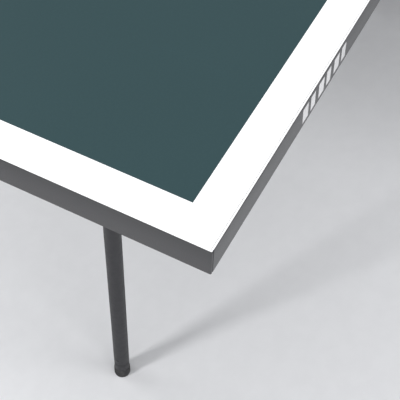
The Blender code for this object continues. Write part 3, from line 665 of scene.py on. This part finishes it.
for half, sx in HALVES:
    # leg frame: two tubes, stretcher, plugs, weld beads
    p = Piece(f"leg_tubes_{half}")
    x = sx * LEG_X
    for k, (tag, sy) in enumerate(SIDES):
        y = sy * RAIL_Y
        tube(p, "leg", "Z", (x, y, 0), 0.009, 0.0015, LEG_BOTTOM, LEG_TOP, 56)
        p.lathe("black", [(0, LEG_TOP - 0.012), (0.0073, LEG_TOP - 0.012), (0.0073, LEG_TOP), (0.0087, LEG_TOP + 0.0001), (0.0088, LEG_TOP + 0.0007), (0.0078, LEG_TOP + 0.0014), (0.0045, LEG_TOP + 0.0018), (0, LEG_TOP + 0.0019)], "Z", (x, y, 0), 40)
        p.lathe("zinc", [(0.0042, LEG_BOTTOM + 0.0002), (0.0076, LEG_BOTTOM + 0.0002), (0.0076, LEG_BOTTOM + 0.013), (0.0042, LEG_BOTTOM + 0.013)], "Z", (x, y, 0), 32)
        for q in (1, -1):
            p.lathe("black", [(0.0043, 0.0091), (0.0068, 0.0091), (0.0072, 0.0094), (0.0072, 0.0109), (0.0068, 0.0112), (0.0043, 0.0112)] if q > 0 else
                    [(0.0043, -0.0112), (0.0068, -0.0112), (0.0072, -0.0109), (0.0072, -0.0094), (0.0068, -0.0091), (0.0043, -0.0091)], "Y", (x, y, LEG_PIVOT_Z), 36)
        bead(p, "leg", (x, y - sy * 0.0089, 0.560), "Y", 0.0081, 0.0014, k + sx)
        # two rivet dimples that hold the nut block
        for q in (1, -1):
            p.lathe("leg", [(0, -0.0002), (0.0022, -0.0002), (0.0021, 0.0002), (0.0012, 0.0006), (0, 0.0007)], "X", (x + q * 0.0089, y, LEG_BOTTOM + 0.0085), 18) if q > 0 else \
                p.lathe("leg", [(0, -0.0007), (0.0012, -0.0006), (0.0021, -0.0002), (0.0022, 0.0002), (0, 0.0002)], "X", (x + q * 0.0089, y, LEG_BOTTOM + 0.0085), 18)
    tube(p, "leg", "Y", (x, 0, 0.560), 0.008, 0.0015, -(RAIL_Y - 0.0082), RAIL_Y - 0.0082, 48)
    p.done(f"legs_{half}", f"leg_frame_{half}", cad_slot="leg_paint")

    # link rods
    p = Piece(f"link_rods_{half}")
    z4, z3 = PIVOT[1] - LINK_DROP, LEG_PIVOT_Z - LINK_DROP
    for tag, sy in SIDES:
        px = sx * PIVOT[0]
        path = bent([(px, sy * 0.5262, z4), (px, sy * ROD_Y, z4), (sx * LEG_X, sy * ROD_Y, z3), (sx * LEG_X, sy * 0.5478, z3)], 0.0085, 12)
        p.sweep("rod", path, ROD_R, 28, round_end=0.0008)
        for cx, cz, at in ((px, z4, 0.5219), (sx * LEG_X, z3, 0.5439)):
            a, b = sy * at, sy * (at + 0.0022)
            lo, hi = min(a, b), max(a, b)
            p.lathe("zinc", [(0.0038, lo), (0.0066, lo + 0.0003), (0.0071, lo + 0.0009), (0.0066, hi - 0.0005), (0.0048, hi), (0.0038, hi)] if sy > 0 else
                    [(0.0038, lo), (0.0048, lo), (0.0066, lo + 0.0005), (0.0071, hi - 0.0009), (0.0066, hi - 0.0003), (0.0038, hi)], "Y", (cx, 0, cz), 32)
    p.done(f"links_{half}", *[f"link_rod_{half}{tag}" for tag, sy in SIDES], cad_slot="zinc_steel")

    # pins of the legs, bolts of the trolley hinges
    p = Piece(f"leg_bolts_{half}")
    for tag, sy in SIDES:
        bolt(p, "zinc", x, sy * RAIL_Y, LEG_PIVOT_Z, sy, 0.004, 0.0068, 0.0140, 0.0140, 0.0043, 0.0048)
    p.done(f"half_{half}", *[f"leg_bolt_{half}{tag}" for tag, sy in SIDES], cad_slot="zinc_steel")
    p = Piece(f"hinge_bolts_{half}")
    for tag, sy in SIDES:
        bolt(p, "zinc", sx * PIVOT[0], sy * RAIL_Y, PIVOT[1], sy, 0.005, 0.0085, 0.0191, 0.0191, 0.0070, 0.0072)
    p.done("trolley", *[f"half_bolt_{half}{tag}" for tag, sy in SIDES], cad_slot="zinc_steel")

    # levelling feet
    for tag, sy in SIDES:
        p = Piece(f"levelling_foot_{half}{tag}")
        y = sy * RAIL_Y
        p.lathe("foot", [(0, 0.0), (0.0050, 0.0), (0.0054, 0.0006), (0.0064, 0.0006), (0.0068, 0.0), (0.0086, 0.0002), (0.0093, 0.0010), (0.0096, 0.0024), (0.0096, 0.0052), (0.00935, 0.0056), (0.00935, 0.0062),
                         (0.0096, 0.0066), (0.0096, 0.0090), (0.00935, 0.0094), (0.00935, 0.0100), (0.0096, 0.0104), (0.0095, 0.0132), (0.0092, 0.0146), (0.0088, 0.0150), (0, 0.0150)], "Z", (x, y, 0), 56)
        p.lathe("leg", [(0.0036, 0.0148), (0.0087, 0.0148), (0.0089, 0.0152), (0.0089, 0.0285), (0.0086, 0.0294), (0.0036, 0.0295)], "Z", (x, y, 0), 56)
        p.lathe("zinc", [(0, 0.0150)] + thread(0.0040, 0.0150, 0.0670, 0.00125, 0.0005) + [(0.0030, 0.0695), (0, 0.0700)], "Z", (x, y, 0), 24)
        p.done(f"foot_{half}{tag}", f"foot_{half}{tag}", cad_slot="foot_rubber")

    # cross tube of the trolley with its weld beads
    p = Piece(f"trolley_tube_{half}")
    cx = sx * 0.382
    tube(p, "frame", "Y", (cx, 0, 0.400), 0.0125, 0.0015, -0.5162, 0.5162, 56)
    for k, (tag, sy) in enumerate(SIDES):
        bead(p, "frame", (cx, sy * 0.5158, 0.400), "Y", 0.0127, 0.0017, k * 2 + sx)
    p.done("trolley", f"cross_tube_{half}", cad_slot="frame_paint")

# net bows
for k, (tag, sy) in enumerate(SIDES):
    p = Piece(f"bow_tube_{tag}")
    path = bent([(0.382, sy * 0.5518, 0.690), (0.382, sy * 0.790, 0.690), (-0.382, sy * 0.790, 0.690), (-0.382, sy * 0.5518, 0.690)], 0.075, 22)
    p.sweep("frame", path, 0.0125, 48)
    for q in (1, -1):
        bead(p, "frame", (q * 0.382, sy * 0.5524, 0.690), "Y", 0.0127, 0.0017, k + q)
    p.done("trolley", f"net_bow_{tag}", cad_slot="frame_paint")

# plugs and welds of the side frames
p = Piece("frame_plugs")
w = Piece("frame_welds")
for tag, sy in SIDES:
    y = sy * RAIL_Y
    for half, sx in HALVES:
        e = sx * 0.410
        p.box("black", (e - sx * 0.008, y - 0.0138, 0.1322), (e, y + 0.0138, 0.1578), 0.0004)
        p.box("black", (e, y - 0.0158, 0.1302), (e + sx * 0.0024, y + 0.0158, 0.1598), 0.0009, 3)
        px = sx * 0.382
        p.box("black", (px - 0.0156, y - 0.0156, 0.7000), (px + 0.0156, y + 0.0156, 0.7012), 0.0005, 2)
        for q in (1, -1):
            weld_line(w, "frame", (px - 0.0150, y + q * 0.0155, 0.1602), (px + 0.0150, y + q * 0.0155, 0.1602), 0.0016, q + sx)
            weld_line(w, "frame", (px + q * 0.0162, y - 0.0140, 0.1602), (px + q * 0.0162, y + 0.0140, 0.1602), 0.0016, q + sy)
        weld_line(w, "frame", (px - 0.0140, y + 0.0162, 0.6038), (px + 0.0140, y + 0.0162, 0.6038), 0.0015, 2 + sx)
        weld_line(w, "frame", (px - 0.0140, y - 0.0162, 0.6038), (px + 0.0140, y - 0.0162, 0.6038), 0.0015, 3 + sx)
p.done("trolley")
w.done("trolley")

# pull knobs of the storage locks
for half, sx, sy in (("a", 1, 1), ("b", -1, -1)):
    p = Piece(f"lock_pull_{half}")
    cx, cz, y0 = sx * (0.350 - 0.0033), 0.662, sy * RAIL_Y
    p.lathe("zinc", [(0, 0.0155), (0.0031, 0.0155), (0.0040, 0.0166), (0.0040, 0.0375), (0, 0.0375)] if sy > 0 else
            [(0, -0.0375), (0.0040, -0.0375), (0.0040, -0.0166), (0.0031, -0.0155), (0, -0.0155)], "Y", (cx, y0, cz), 28)
    neck = [(0.0042, 0.0357), (0.0068, 0.0357), (0.0075, 0.0364), (0.0075, 0.0388), (0.0042, 0.0388)]
    p.lathe("red", neck if sy > 0 else [(r, -h) for r, h in reversed(neck)], "Y", (cx, y0, cz), 40)
    star = []
    for k in range(72):
        a = 2 * math.pi * k / 72
        star.append((cx + (0.0124 + 0.0006 * math.cos(9 * a)) * math.cos(a), cz + (0.0124 + 0.0006 * math.cos(9 * a)) * math.sin(a)))
    p.prism("red", star, "Y", y0 + sy * 0.0382, y0 + sy * 0.0498, 0.0014, 4, sharp=60)
    disc = [(0, 0.0496), (0.0070, 0.0496), (0.0068, 0.0502), (0, 0.0503)]
    p.lathe("red", disc if sy > 0 else [(r, -h) for r, h in reversed(disc)], "Y", (cx, y0, cz), 40)
    p.done(f"lock_{half}", f"lock_knob_{half}", cad_slot="red_plastic")

# ------------------------------------------------------------------ casters
for half, sx in HALVES:
    for tag, sy in SIDES:
        key = f"{half}{tag}"
        cx, cy = sx * 0.350, sy * RAIL_Y
        wx = sx * 0.315

        # pressed fork with its swivel race and stem
        p = Piece(f"caster_yoke_{key}")
        race = [(0.0060, 0.1140), (0.0195, 0.1140), (0.0222, 0.1150), (0.0236, 0.1172), (0.0240, 0.1195), (0.0236, 0.1222), (0.0218, 0.1245), (0.0190, 0.1258), (0.0120, 0.1260), (0.0060, 0.1260)]
        p.lathe("zinc", race, "Z", (cx, cy, 0), 64)
        p.lathe("zinc", [(0.0060, 0.1258), (0.0105, 0.1258), (0.0110, 0.1264), (0.0110, 0.1288), (0.0105, 0.1294), (0.0060, 0.1295)], "Z", (cx, cy, 0), 40)
        p.rod("zinc", "Z", (cx, cy, 0.1380), 0.0060, 0.0290, 0.0008, 32)
        p.rod("zinc", "Z", (cx, cy, 0.1078), 0.0078, 0.0030, 0.0008, 32)
        top = [(0.0205, -0.0150), (0.0205, 0.0150)] + [(0.0175, 0.0180), (-0.0500, 0.0180), (-0.0525, 0.0155), (-0.0525, -0.0155), (-0.0500, -0.0180), (0.0175, -0.0180)]
        p.prism("zinc", [(cx + sx * a, cy + b) for a, b in top], "Z", 0.1100, 0.1140, 0.0007, 3)
        shape = [(0.0215, 0.1120), (0.0208, 0.1060), (0.0178, 0.0975)] + [(-0.035 + 0.013 * math.cos(math.radians(d)), 0.050 + 0.013 * math.sin(math.radians(d))) for d in range(-20, -181, -16)] + \
                [(-0.0482, 0.0560), (-0.0632, 0.0960)] + [(-0.060 + 0.007 * math.cos(math.radians(d)), 0.105 + 0.007 * math.sin(math.radians(d))) for d in range(205, 94, -18)] + [(-0.0520, 0.1130)]
        for q in (1, -1):
            p.prism("zinc", [(cx + sx * a, z) for a, z in shape], "Y", cy + q * 0.0155, cy + q * 0.0185, 0.0006, 3)
            # raised boss round the axle, flattened rim where the plate was drawn
            p.rod("zinc", "Y", (wx, cy + q * 0.0186, 0.050), 0.0105, 0.0007, 0.0003, 40)
        p.done(f"caster_{key}", f"caster_fork_{key}", cad_slot="zinc_steel")

        # axle
        p = Piece(f"caster_axle_{key}")
        bolt(p, "zinc", wx, cy, 0.050, sy, 0.004, 0.0070, 0.0189, 0.0189, 0.0046, 0.0050)
        p.done(f"caster_{key}", f"axle_{key}", cad_slot="zinc_steel")

        # wheel: rubber tread on a ribbed hub
        p = Piece(f"caster_wheel_{key}")
        c = (wx, cy, 0.050)
        tread = [(0.0438, -0.0112), (0.0462, -0.0128), (0.0478, -0.0124), (0.0491, -0.0108), (0.0499, -0.0075), (0.0500, -0.0035), (0.04955, -0.0028), (0.04955, -0.0018), (0.0500, -0.0011),
                 (0.0500, 0.0011), (0.04955, 0.0018), (0.04955, 0.0028), (0.0500, 0.0035), (0.0499, 0.0075), (0.0491, 0.0108), (0.0478, 0.0124), (0.0462, 0.0128), (0.0438, 0.0112)]
        p.lathe("tyre", tread, "Y", c, 96)
        hub = [(0.0044, -0.0139), (0.0096, -0.0139), (0.0102, -0.0132), (0.0112, -0.0085), (0.0130, -0.0070), (0.0345, -0.0070), (0.0360, -0.0082), (0.0366, -0.0122), (0.0374, -0.0129), (0.0440, -0.0129), (0.0446, -0.0122),
               (0.0446, 0.0122), (0.0440, 0.0129), (0.0374, 0.0129), (0.0366, 0.0122), (0.0360, 0.0082), (0.0345, 0.0070), (0.0130, 0.0070), (0.0112, 0.0085), (0.0102, 0.0132), (0.0096, 0.0139), (0.0044, 0.0139)]
        p.lathe("hub", hub, "Y", c, 96)
        for k in range(8):
            a = 2 * math.pi * k / 8 + 0.2
            rib = bmesh.new()
            for q in (1, -1):
                s = [rib.verts.new((r, t, q * h)) for r, t, h in ((0.0100, -0.0011, 0.0126), (0.0372, -0.0010, 0.0118), (0.0372, 0.0010, 0.0118), (0.0100, 0.0011, 0.0126),
                                                                   (0.0100, -0.0014, 0.0066), (0.0372, -0.0013, 0.0066), (0.0372, 0.0013, 0.0066), (0.0100, 0.0014, 0.0066))]
                for f in ((0, 1, 2, 3), (7, 6, 5, 4), (0, 4, 5, 1), (1, 5, 6, 2), (2, 6, 7, 3), (3, 7, 4, 0)):
                    rib.faces.new([s[i] for i in f])
            p.take(rib, "hub", Matrix.Translation(c) @ AXES["Y"] @ Matrix.Rotation(a, 4, "Z"))
        p.done(f"wheel_{key}", f"wheel_{key}", cad_slot="wheel_plastic")

        # brake lever: pedal with grip ribs on a cross pin
        p = Piece(f"brake_pedal_{key}")
        bx = cx - sx * 0.060
        p.rod("zinc", "Y", (bx, cy, 0.105), 0.0030, 0.0388, 0.0005, 24)
        outline = [(0.0560, 0.1008), (0.0548, 0.1035), (0.0550, 0.1068), (0.0572, 0.1087), (0.0660, 0.1113), (0.0820, 0.1156), (0.0960, 0.1192), (0.1005, 0.1198), (0.1040, 0.1186), (0.1046, 0.1168),
                   (0.1030, 0.1152), (0.0900, 0.1104), (0.0790, 0.1068), (0.0762, 0.1050), (0.0748, 0.1010), (0.0736, 0.0972), (0.0718, 0.0955), (0.0700, 0.0958), (0.0660, 0.0985), (0.0610, 0.0992)]
        p.prism("red", [(cx - sx * a, z) for a, z in outline], "Y", cy - 0.0135, cy + 0.0135, 0.0010, 3, sharp=70)
        for k in range(5):
            a = 0.0800 + k * 0.0046
            z = 0.1152 + (a - 0.082) * 0.2571
            p.box("red", (cx - sx * (a - 0.0008), cy - 0.0115, z - 0.0004), (cx - sx * (a + 0.0008), cy + 0.0115, z + 0.0010), 0.0003)
        p.done(f"brake_{key}", f"brake_lever_{key}", cad_slot="red_plastic")

# ------------------------------------------------------------------ net set
for tag, sy in SIDES:
    p = Piece(f"post_bracket_{tag}")
    ya, yb = sy * 0.7722, sy * 0.8108
    # clamp block: two shells round the bow with a bore, built as a thick ring
    outer, inner = [], []
    for k in range(64):
        a = 2 * math.pi * k / 64
        ca, sa = math.cos(a), math.sin(a)
        m = (abs(ca / 0.0193) ** 6 + abs(sa / 0.0205) ** 6) ** (-1 / 6)
        outer.append((sy * 0.7915 + m * ca, 0.6905 + m * sa))
        inner.append((sy * 0.790 + 0.0127 * ca, 0.690 + 0.0127 * sa))
    bm = bmesh.new()
    rows = []
    for pts, x in ((inner, -0.0219), (outer, -0.0211), (outer, 0.0211), (inner, 0.0219)):
        rows.append((pts, x))
    shrink = [(sy * 0.7915 + (a - sy * 0.7915) * 0.965, 0.6905 + (b - 0.6905) * 0.965) for a, b in outer]
    rows = [(inner, -0.0219), (shrink, -0.0219), (outer, -0.0211), (outer, 0.0211), (shrink, 0.0219), (inner, 0.0219)]
    rings = [[bm.verts.new((x, a, b)) for a, b in pts] for pts, x in rows]
    for r0, r1 in zip(rings, rings[1:] + rings[:1]):
        for k in range(64):
            q = (k + 1) % 64
            bm.faces.new((r0[k], r0[q], r1[q], r1[k]))
    p.take(bm, "black")
    # arm, gusset and post
    p.box("frame", (-0.0119, sy * 0.8005, 0.6981), (0.0119, sy * 0.9200, 0.7059), 0.0008, 3)
    p.prism("frame", [(sy * 0.8108, 0.6980), (sy * 0.8108, 0.6820), (sy * 0.8150, 0.6800), (sy * 0.8600, 0.6980)], "X", -0.0020, 0.0020, 0.0005, 2)
    tube(p, "frame", "Z", (0, sy * 0.915, 0), 0.0100, 0.0015, 0.6942, 0.9150, 56)
    bead(p, "frame", (0, sy * 0.915, 0.7063), "Z", 0.0102, 0.0016, sy)
    cap = [(0, 0.9080), (0.0084, 0.9080), (0.0084, 0.9128), (0.0109, 0.9128), (0.0115, 0.9134), (0.0115, 0.9160), (0.0108, 0.9175), (0.0090, 0.9182), (0, 0.9183)]
    p.lathe("black", cap, "Z", (0, sy * 0.915, 0), 56)
    plug = [(0, 0.6931), (0.0095, 0.6931), (0.0099, 0.6935), (0.0099, 0.6942), (0.0084, 0.6943), (0.0084, 0.6990), (0, 0.6990)]
    p.lathe("black", plug, "Z", (0, sy * 0.915, 0), 40)
    # hooks that hold the ends of the net cords
    for z in (0.7680, 0.8960):
        p.box("zinc", (-0.0022, sy * 0.9060, z - 0.0030), (0.0022, sy * 0.9046, z + 0.0030), 0.0004)
    p.done("trolley", f"net_post_{tag}", cad_slot="frame_paint")

    p = Piece(f"clamp_wing_{tag}")
    c = (0, sy * 0.790, 0)
    p.lathe("zinc", [(0, 0.6512)] + thread(0.0040, 0.6512, 0.6762, 0.00125, 0.0005) + [(0.0028, 0.6769), (0, 0.6770)], "Z", c, 24)
    lobes = [((0.0098 + 0.0030 * math.cos(3 * 2 * math.pi * k / 72)) * math.cos(2 * math.pi * k / 72), sy * 0.790 + (0.0098 + 0.0030 * math.cos(3 * 2 * math.pi * k / 72)) * math.sin(2 * math.pi * k / 72)) for k in range(72)]
    p.prism("black", lobes, "Z", 0.6442, 0.6558, 0.0016, 4, sharp=60)
    p.lathe("black", [(0, 0.6550), (0.0064, 0.6550), (0.0060, 0.6590), (0.0042, 0.6592), (0, 0.6592)], "Z", c, 36)
    p.done(f"clamp_{tag}", f"clamp_screw_{tag}", cad_slot="clamp_plastic")

# net: knotted mesh of thin cord, a white tape folded over the top cord, a hem below
REACH, NET_LO, NET_HI = 0.9044, 0.7630, 0.9080
PITCH, R_CORD = 0.0113, 0.00052
p = Piece("net_mesh")
n_cols = int(2 * (REACH - 0.002) / PITCH)
n_rows = int((NET_HI - 0.012 - NET_LO) / PITCH)
step = 2 * (REACH - 0.002) / n_cols
bm = bmesh.new()


def strand(points, r, offset=0.0):
    rows = []
    for i, (y, z, x) in enumerate(points):
        a = points[min(i + 1, len(points) - 1)]
        b = points[max(i - 1, 0)]
        along = abs(a[0] - b[0]) > abs(a[1] - b[1])
        u = (0, 1) if along else (1, 0)
        rows.append([bm.verts.new((x + r * sxn, y + u[0] * r * syn, z + u[1] * r * syn)) for sxn, syn in ((1, 0), (0, 1), (-1, 0), (0, -1))])
    for r0, r1 in zip(rows, rows[1:]):
        for k in range(4):
            q = (k + 1) % 4
            bm.faces.new((r0[k], r0[q], r1[q], r1[k]))
    bm.faces.new(rows[0])
    bm.faces.new(rows[-1])


def slack(y, z):
    """Small pulls in the mesh between the posts."""
    return 0.0006 * math.sin(y * 23 + z * 40) + 0.0004 * math.sin(y * 61 + 1.3)


zs = [NET_LO + 0.0035 + i * (NET_HI - 0.0125 - NET_LO - 0.0035) / n_rows for i in range(n_rows + 1)]
for i in range(n_cols + 1):
    y = -REACH + 0.002 + i * step
    strand([(y + slack(y, z) * 0.8, z, 0.00045 * (1 if (i + j) % 2 else -1)) for j, z in enumerate(zs + [NET_HI - 0.004])], R_CORD)
for j, z in enumerate(zs):
    strand([(-REACH + 0.002 + i * step, z + slack(z * 7, -REACH + i * step) * 0.6, 0.00045 * (-1 if (i + j) % 2 else 1)) for i in range(n_cols + 1)], R_CORD)
me_net = bm
p.take(me_net, "net")
net = p.done("trolley", "net", cad_slot="net_cloth")


def folded(name, z_edge, z_fold, key, thick=0.0006, wave=0.0):
    """Tape folded over a cord: closed strip with a rounded fold, running between the posts."""
    q = Piece(name)
    bm = bmesh.new()
    sgn = 1 if z_fold > z_edge else -1
    r, t = 0.00185, 0.00032
    drop = abs(z_fold - z_edge)

    def fold(k):
        lay = [(-(0.0011 - k), z_edge), (-(0.0012 - k), z_edge + sgn * drop * 0.5), (-(r - k), z_fold - sgn * 0.0034)]
        lay += [(-(r - k) * math.cos(math.radians(a)), z_fold - sgn * r + sgn * (r - k) * math.sin(math.radians(a))) for a in (0, 30, 60, 90, 120, 150, 180)]
        return lay + [(r - k, z_fold - sgn * 0.0034), (0.0012 - k, z_edge + sgn * drop * 0.5), (0.0011 - k, z_edge)]

    section = fold(0) + fold(t)[::-1]
    n = 90
    rows = []
    for i in range(n + 1):
        y = -REACH + 2 * REACH * i / n
        k = 1 + 0.06 * math.sin(i * 1.7)
        rows.append([bm.verts.new((x * k, y, z + (wave * math.sin(i * 0.9) if abs(z - z_edge) < 1e-9 else 0))) for x, z in section])
    for r0, r1 in zip(rows, rows[1:]):
        for k in range(len(section)):
            m = (k + 1) % len(section)
            bm.faces.new((r0[k], r0[m], r1[m], r1[k]))
    for end in (rows[0], rows[-1]):
        m = len(end)
        for j in range(m // 2 - 1):
            bm.faces.new((end[j], end[j + 1], end[m - 2 - j], end[m - 1 - j]))
    return q.take(bm, key)


top_tape = folded("net_top_tape", 0.8955, 0.9117, "tape", wave=0.0002)
for row in (0.8972, 0.9062):
    # stitching along the tape
    for i in range(300):
        y = -0.900 + i * 0.006
        top_tape.box("thread", (0.00085, y, row - 0.00015), (0.00135 if row < 0.9 else 0.00205, y + 0.0036, row + 0.00015), 0)
tape = top_tape.done("trolley", "net_cord", cad_slot="net_cord")
low = folded("net_low_tape", 0.7715, 0.7632, "tape_dark", wave=0.0002)
low_tape = low.done("trolley")

# ------------------------------------------------------------------ CAD nodes that stay: rounded edges and their finishes
for name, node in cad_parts.items():
    if not name.startswith(("apron", "hinge_rail", "cross_rail", "side_frame")):
        continue
    node.data.materials.clear()
    node.data.materials.append(M["frame"])
    weld = node.modifiers.new("weld", "WELD")
    weld.merge_threshold = 0.00001
    bev = node.modifiers.new("round", "BEVEL")
    bev.width, bev.segments, bev.limit_method, bev.angle_limit = (0.0009 if name.startswith("side") else 0.0005), 3, "ANGLE", math.radians(40)
    bev.use_clamp_overlap, bev.harden_normals = True, False
    node.modifiers.new("normals", "WEIGHTED_NORMAL").keep_sharp = True

# ------------------------------------------------------------------ floor and light
n = Nodes("studio_floor")
speck = n.noise(40, 4, 0.6)
# painted pool of light: the floor colour fades from pale round (0.85, 0.60) to a darker grey further out
light_pool_distance = n.node("ShaderNodeVectorMath", operation="DISTANCE")
n.link(n.coord, light_pool_distance.inputs[0])
light_pool_distance.inputs[1].default_value = (0.85, 0.60, 0.0)
pale = n.mix(n.ramp(speck, 0.3, 0.7), (0.785, 0.79, 0.81), (0.805, 0.81, 0.83))
n.set(n.mix(n.ramp(light_pool_distance.outputs["Value"], 0.85, 3.2), pale, (0.50, 0.505, 0.515)), 0.62, n.bump(n.noise(700, 2), 0.04, 0.0002), spec=0.25)
floor_mesh = bpy.data.meshes.new("floor")
bm = bmesh.new()
bmesh.ops.create_grid(bm, x_segments=1, y_segments=1, size=14)
bm.to_mesh(floor_mesh)
bm.free()
floor_mesh.materials.append(n.m)
floor = bpy.data.objects.new("floor", floor_mesh)
SCENE.collection.objects.link(floor)


def area(name, location, target, size, power, colour=(1, 1, 1), size_y=None):
    d = bpy.data.lights.new(name, "AREA")
    d.energy, d.color, d.size = power, colour, size
    if size_y:
        d.shape, d.size_y = "RECTANGLE", size_y
    o = bpy.data.objects.new(name, d)
    o.location = location
    o.rotation_euler = (Vector(target) - Vector(location)).to_track_quat("-Z", "Y").to_euler()
    SCENE.collection.objects.link(o)
    return o


area("key", (5.79, -2.23, 4.70), (1.15, 0.45, 0.2), 1.1, 215)
area("front", (1.15, -4.46, 3.64), (1.15, 0.45, 0.2), 3.0, 310)
area("top", (3.83, 0.92, 5.55), (1.15, 0.45, 0.2), 3.0, 62)
area("back", (-3.09, 0.45, 4.44), (1.15, 0.45, 0.2), 3.0, 50)
area("side", (4.05, 5.47, 1.75), (1.15, 0.45, 0.2), 3.0, 132)
area("low", (0.17, 6.00, 2.25), (1.15, 0.45, 0.2), 3.0, 97)
world = bpy.data.worlds.new("studio")
SCENE.world = world
world.use_nodes = True
world.node_tree.nodes["Background"].inputs["Color"].default_value = (0.93, 0.94, 0.96, 1)
world.node_tree.nodes["Background"].inputs["Strength"].default_value = 0.36
SCENE.view_settings.view_transform = "Standard"
